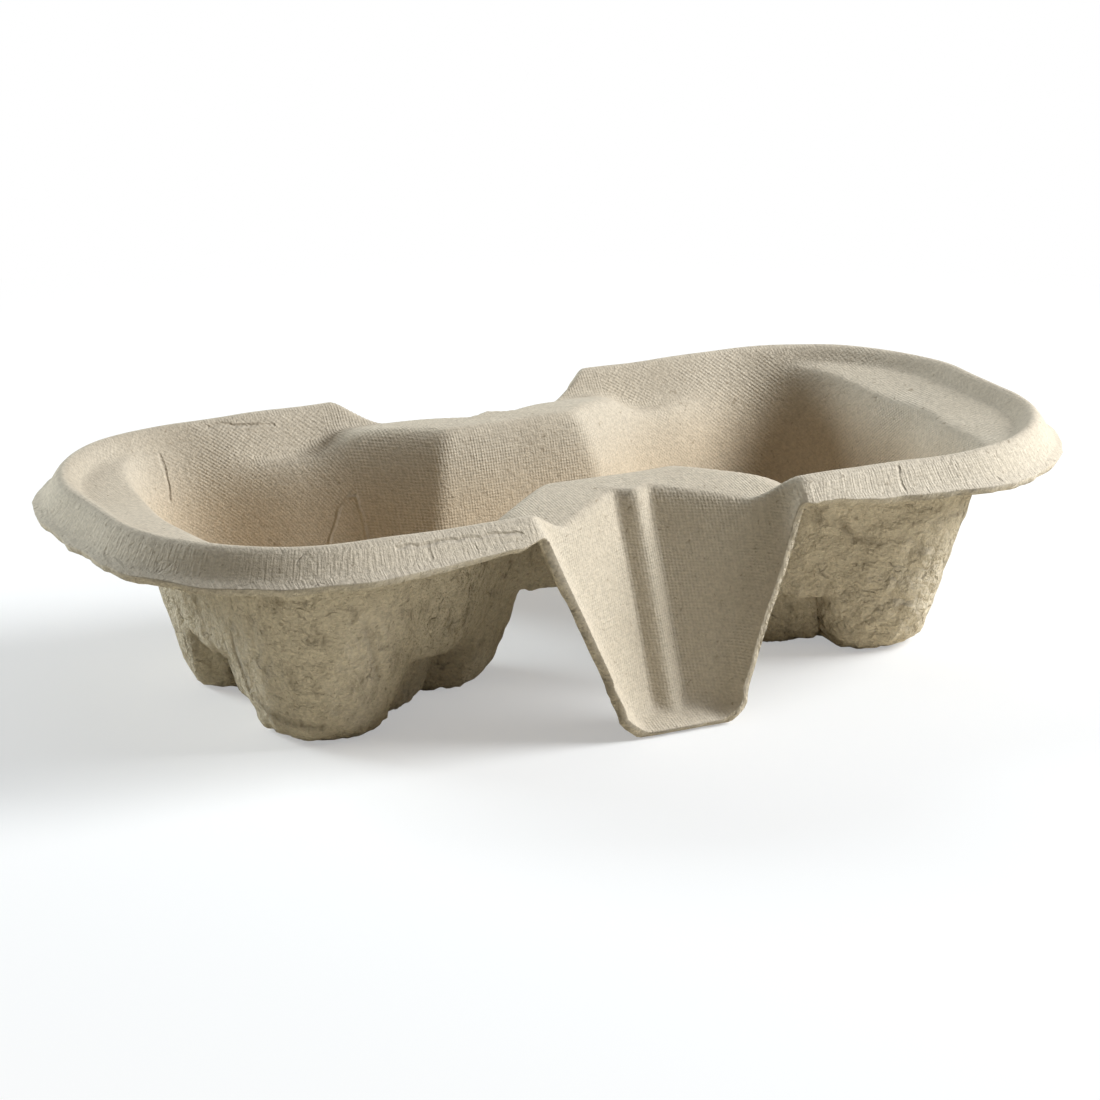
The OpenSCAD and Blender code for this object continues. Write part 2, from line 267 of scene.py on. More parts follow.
def outline_points(count):
    """Edge of one pocket's share of a quarter, from the end of the tray to the fold of the notch."""
    reach = RIM["corner"] + LIP["reach"]
    turn = np.linspace(0, math.pi / 2, 300)
    side = np.linspace(ARC[0], FOLD_X, 200)
    out = LIP["notch"] + (LIP["reach"] - LIP["notch"]) * ease(FOLD_X, FOLD_X + CHANGE["side_run"], side)
    line = np.concatenate([
        np.c_[np.full(50, RIM["length"] + LIP["reach"]), np.linspace(0, ARC[1], 50)],
        np.c_[ARC[0] + reach * np.cos(turn), ARC[1] + reach * np.sin(turn)],
        np.c_[side, RIM["width"] + out]])
    s = np.r_[0, np.cumsum(np.hypot(*np.diff(line, axis=0).T))]
    at = np.linspace(0, s[-1], count + 1)
    return np.c_[np.interp(at, s, line[:, 0]), np.interp(at, s, line[:, 1])]


def lay_middle():
    made = bmesh.ops.create_grid(
        sheet_bm, x_segments=2 * COLUMNS, y_segments=2 * ROWS, size=1.0)["verts"]
    uv = np.array([v.co[:2] for v in made])
    x = FOLD_X * uv[:, 0]
    row = np.rint(np.abs(uv[:, 1]) * ROWS).astype(int)
    y = np.sign(uv[:, 1]) * row_y(np.abs(x), ROW_PART[row])
    z = press(x, y)
    for v, px, py, pz, r in zip(made, x, y, z, row):
        v.co = (px, py, pz)
        v[lip_lay] = 1.0 if r == ROWS else 0.0
    return len(made)


def lay_pocket(side):
    fold = np.c_[np.full(ROWS, FOLD_X), row_y(FOLD_X, ROW_PART)[::-1][1:]]
    quarter = np.concatenate([outline_points(SPOKES), fold])
    loop = np.concatenate([quarter, quarter[-2:0:-1] * [1, -1], quarter[:1]])
    centre = np.array([POCKET["x"], 0.0])
    t = np.linspace(0, 1, SAMPLES)
    lines = centre + (loop[:, None] - centre) * t[:, None]
    heights = press(lines[..., 0], lines[..., 1])
    reach = np.hypot(*(loop - centre).T)
    parts = np.array([spread(h, r / (SAMPLES - 1), RINGS) for h, r in zip(heights, reach)])
    made = bmesh.ops.create_grid(
        sheet_bm, x_segments=len(loop) - 1, y_segments=RINGS, size=1.0)["verts"]
    uv = np.array([v.co[:2] for v in made])
    ray = np.rint((uv[:, 0] + 1) / 2 * (len(loop) - 1)).astype(int)
    ring = np.rint((uv[:, 1] + 1) / 2 * RINGS).astype(int)
    part = parts[ray, ring]
    xy = centre + (loop[ray] - centre) * part[:, None]
    z = press(xy[:, 0], xy[:, 1])
    for v, p, pz, k, r in zip(made, xy, z, ray, ring):
        v.co = (side * p[0], p[1], pz)
        v[lip_lay] = 1.0 if r == RINGS and (k <= SPOKES or k >= len(loop) - 1 - SPOKES) else 0.0
    faces = {f for v in made for f in v.link_faces}
    if side < 0:
        bmesh.ops.reverse_faces(sheet_bm, faces=list(faces))
    return len(made)


print("middle", lay_middle(), "right pocket", lay_pocket(1), "left pocket", lay_pocket(-1), "points")

# %% [markdown]
# The three grids share their border points, so they are welded into one sheet. The normals are turned
# up before the sheet gets its thickness.

# %% Weld the grids
bmesh.ops.remove_doubles(sheet_bm, verts=sheet_bm.verts[:], dist=0.02)
bmesh.ops.dissolve_degenerate(sheet_bm, edges=sheet_bm.edges[:], dist=0.001)
bmesh.ops.recalc_face_normals(sheet_bm, faces=sheet_bm.faces[:])
if sum(f.normal.z for f in sheet_bm.faces) < 0:
    bmesh.ops.reverse_faces(sheet_bm, faces=sheet_bm.faces[:])
borders = sum(1 for e in sheet_bm.edges if e.is_boundary)
print("sheet", len(sheet_bm.verts), "points,", len(sheet_bm.faces), "faces,", borders, "border edges")

# %% [markdown]
# A real tray is never quite even. The torn lip wanders and the upper face has faint waves. A Displace
# modifier could do it, but moving the points here keeps the shape in the mesh. The noise is a fixed
# function of place, so each run agrees. Amplitudes and sizes are in millimetres.

# %% Wander of the lip and waves of the upper face
WAVE = dict(high=0.35, size=26.0, seed=3.1)
LIP_WANDER = ((0.60, 14.0, 7.7, 4), (0.16, 3.0, 1.9, 2))
LIP_WANDER_MIDDLE = 0.35
LIP_DROOP = -0.5


def on_lip(v):
    return v[lip_lay] > 0.5


def wave(p, size, seed, octaves=3):
    q = Vector((p.x / size + seed, p.y / size - seed, p.z / size + 2 * seed))
    return noise.fractal(q, 0.8, 2.0, octaves, noise_basis="PERLIN_ORIGINAL")


sheet_bm.normal_update()
for v in sheet_bm.verts:
    v.co += v.normal * (WAVE["high"] * wave(v.co, WAVE["size"], WAVE["seed"], 2))
for v in filter(on_lip, sheet_bm.verts):
    by_pocket = abs(v.co.x) > FOLD_X
    out_x = v.co.x - math.copysign(POCKET["x"], v.co.x) if by_pocket else 0.0
    out = Vector((out_x, v.co.y, 0.0)).normalized()
    shift = sum(high * wave(v.co, size, seed, octaves) for high, size, seed, octaves in LIP_WANDER)
    shift *= 1.0 if by_pocket else LIP_WANDER_MIDDLE
    v.co += Vector((out.x, out.y, LIP_DROOP)) * shift
print("lip points moved", sum(1 for v in sheet_bm.verts if on_lip(v)))

# %% [markdown]
# The finish needs to know where it is, so two masks are kept on the points. One marks the lip outside
# the top of the rim, where the colour gets a painted light. The other grows toward the floors and carries
# a painted shade there, darker and warmer. Painting them by hand would work, but the sizes of the mould
# already say where they belong.

# %% Masks of the lip and the depth
LIP_FROM = (-1.0, 2.0)
LIP_PAST_FOLD = 4.0
MIDDLE_SIDES = (34.0, 28.0)
# Heights in millimetres over which the painted shade of the floors comes in.
FLOOR_SHADE_HEIGHTS = (42.0, 26.0)
for v in sheet_bm.verts:
    corner = max(abs(v.co.x) - ARC[0], 0.0), max(abs(v.co.y) - ARC[1], 0.0)
    past_rim = float(ease(*LIP_FROM, math.hypot(*corner) - RIM["corner"]))
    v[flare_lay] = past_rim if abs(v.co.x) > FOLD_X - LIP_PAST_FOLD else 0.0
    in_middle = float(ease(*MIDDLE_SIDES, abs(v.co.y)))
    inside = 1.0 - v[flare_lay] if abs(v.co.x) > FOLD_X else in_middle
    v[depth_lay] = inside * float(ease(*FLOOR_SHADE_HEIGHTS, v.co.z))
print("points on the outside of the lip", sum(1 for v in sheet_bm.verts if v[flare_lay] > 0.5))

# %% [markdown]
# The lower face never touched the screen: it is lumpy where wet fibre gathered and wrinkled where it
# sagged down the walls. The sheet is doubled with solidify, which keeps its thickness square to the
# walls, and then only the lower points are moved. Near the cut edge they move less, so it stays clean.

# %% Thickness and lumps of the lower face
LUMPY = dict(share=0.30, along=0.007, up=0.008, level=20.0, patch=1.2, size=40.0, seed=11.3, smooths=0.6)
NODULES = ((1.75, 4.4), (0.80, 2.5))
STREAK = dict(high=0.50, across=3.0, along=10.0)
RIPPLE = dict(high=0.35, size=6.0, seed=5.3)
EDGE_CALM = 0.25


def nodule(p, size):
    """Small round swellings, highest in the middle of each cell."""
    return 0.5 - noise.voronoi(Vector((p.x / size, p.y / size, p.z / size)))[0][0]


def streak(p, across, along):
    """Wrinkles that run down the walls."""
    return noise.fractal(Vector((p.x / across, p.y / across, p.z / along)), 0.8, 2.0, 3)


upper_lay = sheet_bm.verts.layers.float.new("upper")
for v in sheet_bm.verts:
    v[upper_lay] = 1.0
shell = bmesh.ops.solidify(sheet_bm, geom=sheet_bm.faces[:], thickness=SHEET)["geom"]
lower = [g for g in shell if isinstance(g, bmesh.types.BMVert)]
sheet_bm.normal_update()
for v in lower:
    v[upper_lay] = 0.0
    patch = LUMPY["patch"] * wave(v.co, LUMPY["size"], LUMPY["seed"], 2)
    lumpy = LUMPY["share"] + LUMPY["along"] * v.co.x - LUMPY["up"] * (v.co.z - LUMPY["level"]) + patch
    lumpy = max(0.0, min(1.0, lumpy))
    swell = sum(high * nodule(v.co, size) for high, size in NODULES)
    wrinkle = STREAK["high"] * streak(v.co, STREAK["across"], STREAK["along"])
    wrinkle += RIPPLE["high"] * wave(v.co, RIPPLE["size"], RIPPLE["seed"], 3)
    calm = EDGE_CALM if on_lip(v) else 1.0
    v.co += v.normal * calm * (lumpy * swell + (1.0 - LUMPY["smooths"] * lumpy) * wrinkle)


def stand_on_ground():
    """No point of the tray lies below the plane that it stands on."""
    for v in sheet_bm.verts:
        v.co.z = max(v.co.z, 0.0)


stand_on_ground()
print("lower face", len(lower), "points")

# %% [markdown]
# The cut edge of pulp is soft and a little swollen, never square. A bevel on the two long edges of the
# cut face rounds it; they are found by their angle and by the mark of the lip on their points.

# %% Soften the cut edge
EDGE_ROUND = 0.9
EDGE_ANGLE = 0.9
lip_edges = [e for e in sheet_bm.edges if len(e.link_faces) == 2
             and e.calc_face_angle(0.0) > EDGE_ANGLE and all(map(on_lip, e.verts))]
bmesh.ops.bevel(sheet_bm, geom=lip_edges, offset=EDGE_ROUND, offset_type="OFFSET", segments=3, profile=0.5,
                affect="EDGES", material=-1, clamp_overlap=True)
stand_on_ground()
print("softened edges", len(lip_edges))

# %% [markdown]
# Where the wet fibre ran over the edge of the screen it dried as small blobs of flash. Each is a soft pull
# on the points near a place: its middle, the way it is pulled and how far it reaches. Separate lumps
# would be easy to add, but would not belong to the sheet.

# %% Flash on the cut edges
FLASH = [((-16.2, -55.0, 9.8), (-1.0, -0.3, 0.0), 2.4),
         ((-13.4, -55.0, 3.5), (-1.1, -0.2, 0.2), 2.6),
         ((12.5, -54.6, 3.5), (0.8, -0.4, 0.3), 3.0),
         ((30.6, -51.4, 42.9), (-0.3, -0.9, -0.9), 2.6)]
for centre, push, reach in FLASH:
    for v in sheet_bm.verts:
        away = (v.co - Vector(centre)).length / reach
        if away < 1.0:
            v.co += Vector(push) * (1.0 - away * away)
            v.co.z = max(v.co.z, 0.0)
print("blobs of flash", len(FLASH))

# %% [markdown]
# The wire screen is bent round the mould, so its print needs coordinates that lie on the sheet. Level
# faces take theirs from above. Walls take the way round the pocket, or along the middle, and the height.
# Unwrapping would cut the sheet into islands; here the weave runs on from wall to wall.

# %% Coordinates of the screen
screen_uv = sheet_bm.loops.layers.uv.new("screen")
WALL_RADIUS = 35.0
LIP_RADIUS = 54.0
SLANT = 1.07
LEVEL = 0.72


def screen_point(face, co, mid_turn):
    """Place of a corner on the unrolled screen, in millimetres."""
    if face.normal.z > LEVEL:
        return co.x, co.y
    if mid_turn is None:
        return co.x, SLANT * co.z
    turn = math.atan2(co.y, abs(co.x) - POCKET["x"]) - mid_turn
    turn = mid_turn + (turn + math.pi) % (2 * math.pi) - math.pi
    outside = max(abs(co.x) - ARC[0], 0.0), max(abs(co.y) - ARC[1], 0.0)
    if math.hypot(*outside) > RIM["corner"]:
        return LIP_RADIUS * turn, SLANT * co.z
    u, w = WALL_RADIUS * turn, SLANT * co.z
    return (u + w) * math.sqrt(0.5), (u - w) * math.sqrt(0.5)


sheet_bm.normal_update()
for f in sheet_bm.faces:
    f.smooth = True
    middle = f.calc_center_median()
    in_pocket = abs(middle.x) > FOLD_X
    mid_turn = math.atan2(middle.y, abs(middle.x) - POCKET["x"]) if in_pocket else None
    for corner in f.loops:
        corner[screen_uv].uv = screen_point(f, corner.vert.co, mid_turn)
print("screen coordinates on", len(sheet_bm.faces), "faces")

# %% [markdown]
# The mould was drawn in millimetres and Blender's frame is in metres, so the points themselves are
# scaled. The object stays at the origin, unscaled, and the finish can use its coordinates.

# %% Keep the mesh
MM = 0.001
bmesh.ops.scale(sheet_bm, vec=(MM, MM, MM), verts=sheet_bm.verts[:])
carrier_mesh = bpy.data.meshes.new("pulp_sheet")
sheet_bm.to_mesh(carrier_mesh)
sheet_bm.free()
carrier = bpy.data.objects.new("pulp_sheet", carrier_mesh)
bpy.context.scene.collection.objects.link(carrier)
carrier_mesh.calc_loop_triangles()
print("triangles", len(carrier_mesh.loop_triangles))

# %% [markdown]
# Three node groups make the finish: the print of the wire screen, the fibre, and single marks. One long
# tree in the material would look the same, but a group with named outputs is easier to read and reuse.
# A few helpers keep the groups short. A plain number is set on the socket; anything else is linked.


# %% Node helpers
def put(tree, kind, **values):
    node = tree.nodes.new(kind)
    for key, value in values.items():
        setattr(node, key, value)
    return node


def wire(tree, a, b):
    tree.links.new(a, b)


def maths(tree, op, a, b=None, c=None):
    node = put(tree, "ShaderNodeMath", operation=op)
    for i, value in enumerate((a, b, c)):
        if value is None:
            continue
        if isinstance(value, (int, float)):
            node.inputs[i].default_value = value
        else:
            wire(tree, value, node.inputs[i])
    return node.outputs[0]


def held(tree, value, low=0.0):
    """Value kept between low and one."""
    return maths(tree, "MINIMUM", maths(tree, "MAXIMUM", value, low), 1.0)


def noise_at(tree, vector, scale, detail=2.0, rough=0.5, distortion=0.0):
    node = put(tree, "ShaderNodeTexNoise")
    node.inputs["Scale"].default_value = scale
    node.inputs["Detail"].default_value = detail
    node.inputs["Roughness"].default_value = rough
    node.inputs["Distortion"].default_value = distortion
    wire(tree, vector, node.inputs["Vector"])
    return node.outputs["Fac"]


def patches(tree, noise_value, gain, base, low=0.0):
    """Noise with its contrast raised, so that it breaks up into patches."""
    return held(tree, maths(tree, "MULTIPLY_ADD", noise_value, gain, base), low)


def drawn_out(tree, vector, factors):
    """Coordinates squeezed along an axis, which draws a pattern out along it."""
    node = put(tree, "ShaderNodeVectorMath", operation="MULTIPLY")
    node.inputs[1].default_value = factors
    wire(tree, vector, node.inputs[0])
    return node.outputs[0]


def shifted(tree, place, shift, size):
    """Coordinates moved about by a noise vector."""
    node = put(tree, "ShaderNodeVectorMath", operation="MULTIPLY_ADD")
    node.inputs[1].default_value = (size, size, size)
    wire(tree, shift, node.inputs[0])
    wire(tree, place, node.inputs[2])
    return node.outputs[0]


def new_group(name, takes, gives):
    """Node group with its input and output node; each socket is a name and a kind."""
    group = bpy.data.node_groups.new(name, "ShaderNodeTree")
    for way, sockets in (("INPUT", takes), ("OUTPUT", gives)):
        for socket, kind in sockets.items():
            group.interface.new_socket(socket, in_out=way, socket_type="NodeSocket" + kind)
    print("group", name, "gives", ", ".join(gives))
    return group, put(group, "NodeGroupInput"), put(group, "NodeGroupOutput")


# %% [markdown]
# The mould is covered with woven wire, and the wet fibre takes its print. A picture could hold the
# weave, but two crossing sets of sine lines stay sharp from any distance and need no file. They run on
# the screen's own coordinates, wobble a little and are worn away in patches. On the lip, where the wire
# cloth is drawn round the rim, longer ribs show as well.

# %% Screen print group
PITCH = 0.63
WOBBLE = 1.6
LEAST_PRINT = 0.30
RIB_DRAW = (1.0, 0.10, 1.0)
screen_group, g_in, g_out = new_group(
    "screen_print", dict(Screen="Vector", Place="Vector"), dict(Height="Float", Ribs="Float"))
split = put(screen_group, "ShaderNodeSeparateXYZ")
wire(screen_group, g_in.outputs["Screen"], split.inputs[0])
wobble = noise_at(screen_group, g_in.outputs["Place"], 160.0, 2.0)
wobble = maths(screen_group, "MULTIPLY_ADD", wobble, WOBBLE, -WOBBLE / 2)
wires = []
for axis in (0, 1):
    phase = maths(screen_group, "MULTIPLY_ADD", split.outputs[axis], 2 * math.pi / PITCH, wobble)
    wires.append(maths(screen_group, "SINE", phase))
crossed = maths(screen_group, "ADD", *wires)
crossed = maths(screen_group, "MULTIPLY_ADD", crossed, 0.25, 0.5)
clear = patches(screen_group, noise_at(screen_group, g_in.outputs["Place"], 55.0, 3.0, 0.6),
                3.0, -1.0, LEAST_PRINT)
worn = noise_at(screen_group, g_in.outputs["Place"], 650.0, 2.0, 0.6)
clear = maths(screen_group, "MULTIPLY", clear, maths(screen_group, "MULTIPLY_ADD", worn, 2.0, 0.0))
wire(screen_group, maths(screen_group, "MULTIPLY", crossed, clear), g_out.inputs["Height"])
ribs_at = drawn_out(screen_group, g_in.outputs["Screen"], RIB_DRAW)
wire(screen_group, noise_at(screen_group, ribs_at, 1.5, 3.0, 0.6, 0.3), g_out.inputs["Ribs"])
print("screen print pitch", PITCH, "mm")

# %% [markdown]
# The fibre itself: cloudy colour, dark flecks, fuzz, streaks down the walls, fine mottle, cracks and
# lumps. Each is one noise at its own scale, in cycles per metre. A photograph of paper could give them
# all at once, but noise has no seams on a pressed sheet, and each can be made stronger or weaker alone.

# %% Fibre group
STREAK_DRAW = (1.0, 1.0, 0.45)
MOTTLE_DRAW = (0.75, 0.75, 1.0)
fibre_group, f_in, f_out = new_group(
    "pulp_fibre", dict(Place="Vector"),
    dict(Cloud="Float", Fleck="Float", Fuzz="Float", Crease="Float", Mottle="Float",
         Crack="Float", Lumps="Float", Wander="Color"))
place = f_in.outputs["Place"]


def fibre_noise(scale, detail, rough=0.5, distortion=0.0, at=place):
    return noise_at(fibre_group, at, scale, detail, rough, distortion)


streaks_at = drawn_out(fibre_group, place, STREAK_DRAW)
mottle_at = drawn_out(fibre_group, place, MOTTLE_DRAW)
wire(fibre_group, fibre_noise(38.0, 4.0, 0.6), f_out.inputs["Cloud"])
wire(fibre_group, patches(fibre_group, fibre_noise(900.0, 1.0, 0.5, 0.6), 9.0, -6.0), f_out.inputs["Fleck"])
wire(fibre_group, fibre_noise(520.0, 3.0, 0.65), f_out.inputs["Fuzz"])
streaks = patches(fibre_group, fibre_noise(330.0, 3.0, 0.6, at=streaks_at), 5.0, -2.6)
wire(fibre_group, streaks, f_out.inputs["Crease"])
mottle = patches(fibre_group, fibre_noise(1500.0, 3.0, 0.7, at=mottle_at), 3.4, -1.2)
wire(fibre_group, mottle, f_out.inputs["Mottle"])
print("fibre streaks", round(1 / STREAK_DRAW[2], 1), "times as long as wide")

# %% [markdown]
# Cracks and lumps are cells of a Voronoi pattern: cracks are their borders, lumps their middles. Plain
# cells look like tiles, so a noise moves the coordinates first, and the cracks are broken up. The lumps
# gather toward one end of the tray, where the pulp ran thicker.

# %% Cracks and lumps of the fibre
CRACK_WANDER = 0.009
CRACK_SHARP = 24.0
LUMPS_ALONG = 9.0
LEAST_LUMPS = 0.55
bent = put(fibre_group, "ShaderNodeTexNoise")
bent.inputs["Scale"].default_value = 150.0
bent.inputs["Detail"].default_value = 3.0
wire(fibre_group, place, bent.inputs["Vector"])
wander = put(fibre_group, "ShaderNodeVectorMath", operation="SUBTRACT")
wander.inputs[1].default_value = (0.5, 0.5, 0.5)
wire(fibre_group, bent.outputs["Color"], wander.inputs[0])
wire(fibre_group, wander.outputs[0], f_out.inputs["Wander"])
cells_at = shifted(fibre_group, place, wander.outputs[0], CRACK_WANDER)


def cell_distance(feature, scale):
    node = put(fibre_group, "ShaderNodeTexVoronoi", feature=feature)
    node.inputs["Scale"].default_value = scale
    wire(fibre_group, cells_at, node.inputs["Vector"])
    return node.outputs["Distance"]


crack = maths(fibre_group, "MULTIPLY_ADD", cell_distance("DISTANCE_TO_EDGE", 95.0), -CRACK_SHARP, 1.0)
broken = patches(fibre_group, fibre_noise(230.0, 2.0, 0.6), 9.0, -4.9)
crack = maths(fibre_group, "MULTIPLY", maths(fibre_group, "MAXIMUM", crack, 0.0), broken)
wire(fibre_group, crack, f_out.inputs["Crack"])
along_tray = put(fibre_group, "ShaderNodeSeparateXYZ")
wire(fibre_group, place, along_tray.inputs[0])
gathered = maths(fibre_group, "MULTIPLY_ADD", fibre_noise(45.0, 2.0), 2.4, -1.1)
gathered = maths(fibre_group, "MULTIPLY_ADD", along_tray.outputs[0], LUMPS_ALONG, gathered)
gathered = held(fibre_group, gathered, LEAST_LUMPS)
lumps = maths(fibre_group, "SUBTRACT", 1.0, cell_distance("F1", 260.0))
wire(fibre_group, maths(fibre_group, "MULTIPLY", lumps, gathered), f_out.inputs["Lumps"])
print("fibre nodes", len(fibre_group.nodes))

# %% [markdown]
# A third group draws one straight mark between two points: the seam of a patch in the screen, or a
# crease. A few of them, joined end to end, follow the marks that this tray carries. Cutting them into
# the mesh would need far finer faces than the sheet has.

# %% Mark group
mark_group, m_in, m_out = new_group(
    "seam_mark", dict(Place="Vector", From="Vector", Along="Vector", Width="Float"), dict(Mark="Float"))


def vectors(op, a, b, result="Vector"):
    node = put(mark_group, "ShaderNodeVectorMath", operation=op)
    wire(mark_group, a, node.inputs[0])
    if b is not None:
        wire(mark_group, b, node.inputs["Scale"] if op == "SCALE" else node.inputs[1])
    return node.outputs[result]


along = m_in.outputs["Along"]
offset = vectors("SUBTRACT", m_in.outputs["Place"], m_in.outputs["From"])
reached = vectors("DOT_PRODUCT", offset, along, "Value")
share = held(mark_group, maths(mark_group, "DIVIDE", reached, vectors("DOT_PRODUCT", along, along, "Value")))
gap = vectors("LENGTH", vectors("SUBTRACT", offset, vectors("SCALE", along, share)), None, "Value")
mark = maths(mark_group, "SUBTRACT", 1.0, maths(mark_group, "DIVIDE", gap, m_in.outputs["Width"]))
wire(mark_group, maths(mark_group, "MAXIMUM", mark, 0.0), m_out.inputs["Mark"])
print("mark nodes", len(mark_group.nodes))

# %% [markdown]
# The marks as lines of points on the sheet, in millimetres: a tongue-shaped seam in the left pocket,
# creases of the rim, and wrinkles of the lower face.

# %% Lines of the marks
SEAMS = [
    [(-39.9, 27.5, 22.2), (-36.6, 28.9, 29.4), (-35.2, 28.8, 31.0),
     (-33.8, 28.0, 31.2), (-33.0, 26.3, 28.2), (-33.2, 24.0, 22.9)]]
CREASES = [
    [(-71.8, 42.0, 42.0), (-71.4, 38.3, 33.1)],
    [(-61.0, -49.2, 45.4), (-47.3, -49.4, 45.1), (-34.2, -49.3, 45.2)],
    [(-59.0, 45.3, 46.0), (-44.7, 44.1, 44.4)],
    [(52.5, -48.8, 46.2), (51.9, -50.6, 43.4), (52.6, -52.0, 41.0)],
    [(75.0, -49.0, 45.6), (74.5, -50.8, 42.6), (75.3, -52.6, 39.6)]]
WRINKLES = [
    [(-77.8, -18.7, 8.3), (-76.5, -23.1, 6.2), (-73.1, -28.7, 5.0), (-68.9, -31.3, 4.0)],
    [(-82.1, -18.1, 24.3), (-80.0, -16.3, 16.1), (-78.2, -17.8, 9.7)],
    [(-62.4, -39.1, 27.4), (-60.2, -36.8, 20.8), (-57.6, -33.9, 13.8)],
    [(48.0, -35.4, 30.5), (51.0, -35.5, 27.4), (54.1, -36.6, 27.2)]]
MARK_WIDTH = dict(seam=0.6, shaded_crease=0.6, wrinkle=1.3)
MARK_WANDER = 0.0026
print("marks", len(SEAMS) + len(CREASES) + len(WRINKLES))

# %% [markdown]
# One material covers both faces, as one pulp makes both. Masks on the mesh tell the upper face from the
# lower, the lip from the rest and the deep places from the high ones. Two materials would meet in a
# hard line along the cut edge; with masks one finish runs into the other.

# %% Pulp material and its inputs
pulp = bpy.data.materials.new("pulp")
pulp.use_nodes = True
tree = pulp.node_tree
tree.nodes.clear()
out = put(tree, "ShaderNodeOutputMaterial")
shader = put(tree, "ShaderNodeBsdfPrincipled")
shader.inputs["Roughness"].default_value = 0.92
shader.inputs["Specular IOR Level"].default_value = 0.15
wire(tree, shader.outputs[0], out.inputs["Surface"])
coords = put(tree, "ShaderNodeTexCoord").outputs["Object"]
MASKS = ("upper", "flare", "depth")
upper, flare, depth = (put(tree, "ShaderNodeAttribute", attribute_name=name).outputs["Fac"]
                       for name in MASKS)
bare = maths(tree, "SUBTRACT", 1.0, upper)
printed = put(tree, "ShaderNodeGroup", node_tree=screen_group)
wire(tree, put(tree, "ShaderNodeUVMap", uv_map="screen").outputs["UV"], printed.inputs["Screen"])
wire(tree, coords, printed.inputs["Place"])
fibre = put(tree, "ShaderNodeGroup", node_tree=fibre_group)
wire(tree, coords, fibre.inputs["Place"])
print("masks on the mesh", [name for name in MASKS if name in carrier_mesh.attributes])

# %% [markdown]
# The marks are placed on the sheet and wander a little, since nothing pressed in pulp is quite straight.
# Seams and creases belong to the upper face, wrinkles to the lower one.

# %% Marks on the sheet
traced = shifted(tree, coords, fibre.outputs["Wander"], MARK_WANDER)


def marks(lines, width, face):
    """Largest of the marks along some lines of points, on one face of the sheet."""
    found = 0.0
    for line in lines:
        for a, b in zip(line, line[1:]):
            node = put(tree, "ShaderNodeGroup", node_tree=mark_group)
            node.inputs["From"].default_value = Vector(a) * MM
            node.inputs["Width"].default_value = width * MM
            node.inputs["Along"].default_value = (Vector(b) - Vector(a)) * MM
            wire(tree, traced, node.inputs["Place"])
            found = maths(tree, "MAXIMUM", node.outputs["Mark"], found)
    return maths(tree, "MULTIPLY", found, face)


seam = marks(SEAMS, MARK_WIDTH["seam"], upper)
# The creases are real grooves, pressed in by the bump, and are also darkened as painted shade.
shaded_crease = marks(CREASES, MARK_WIDTH["shaded_crease"], upper)
# The wrinkles of the lower face are real grooves, pressed in by the bump, and are also darkened as painted
# shade.
shaded_wrinkles = marks(WRINKLES, MARK_WIDTH["wrinkle"], bare)
print("mark pieces", sum(1 for n in tree.nodes if n.type == "GROUP" and n.node_tree == mark_group))

# %% [markdown]
# The colour is built like coats of thin paint: the pulp's own cloudy colour, made darker and warmer
# toward the floors as painted shade and paler on the outside of the lip as painted light, then the dark
# streaks, flecks, cracks, marks and the hollows of the screen. The creases and wrinkles among the marks
# are darkened as painted shade. Each coat has its colour and how much of it shows.

# %% Colour of the pulp
# The second pair is a painted shade: the pulp darker and warmer toward the floors of the pockets and the
# middle.
PULP = dict(upper=((0.575, 0.502, 0.395), (0.650, 0.585, 0.485)),
            shaded_floor=((0.560, 0.455, 0.325), (0.630, 0.525, 0.395)),
            lower=((0.575, 0.497, 0.372), (0.700, 0.618, 0.487)))
# Painted light: the outside of the lip is made paler, where the lamps fall on it.
LIP_PAINTED_LIGHT = (0.745, 0.672, 0.560)
STREAK_DARK = (0.20, 0.155, 0.105)
# Dark of the flecks, also used for the painted shade in the creases.
FLECK_AND_CREASE_SHADE = (0.24, 0.185, 0.125)
# Dark of the cracks, also used for the painted shade in the wrinkles.
CRACK_AND_WRINKLE_SHADE = (0.16, 0.12, 0.08)
HOLLOW_DARK = (0.36, 0.285, 0.195)
# In SHOWS, lip sets how much painted light the lip gets, and the crease and wrinkle entries set the painted
# shade in those marks.
SHOWS = dict(lip=0.6, streak=0.42, streak_change=-0.34, fleck=0.55, crack=0.45, crack_lip=0.30,
             shaded_crease=0.16, wrinkle=0.40, hollow=0.22, mottle=0.27, mottle_change=-0.05)


def times(a, b):
    return maths(tree, "MULTIPLY", a, b)


def blend_colour(fac, a, b):
    node = put(tree, "ShaderNodeMix", data_type="RGBA")
    for socket, value in ((node.inputs[0], fac), (node.inputs[6], a), (node.inputs[7], b)):
        if isinstance(value, tuple):
            socket.default_value = (*value, 1.0)
        else:
            wire(tree, value, socket)
    return node.outputs[2]


cloudy = {where: blend_colour(fibre.outputs["Cloud"], *pair) for where, pair in PULP.items()}
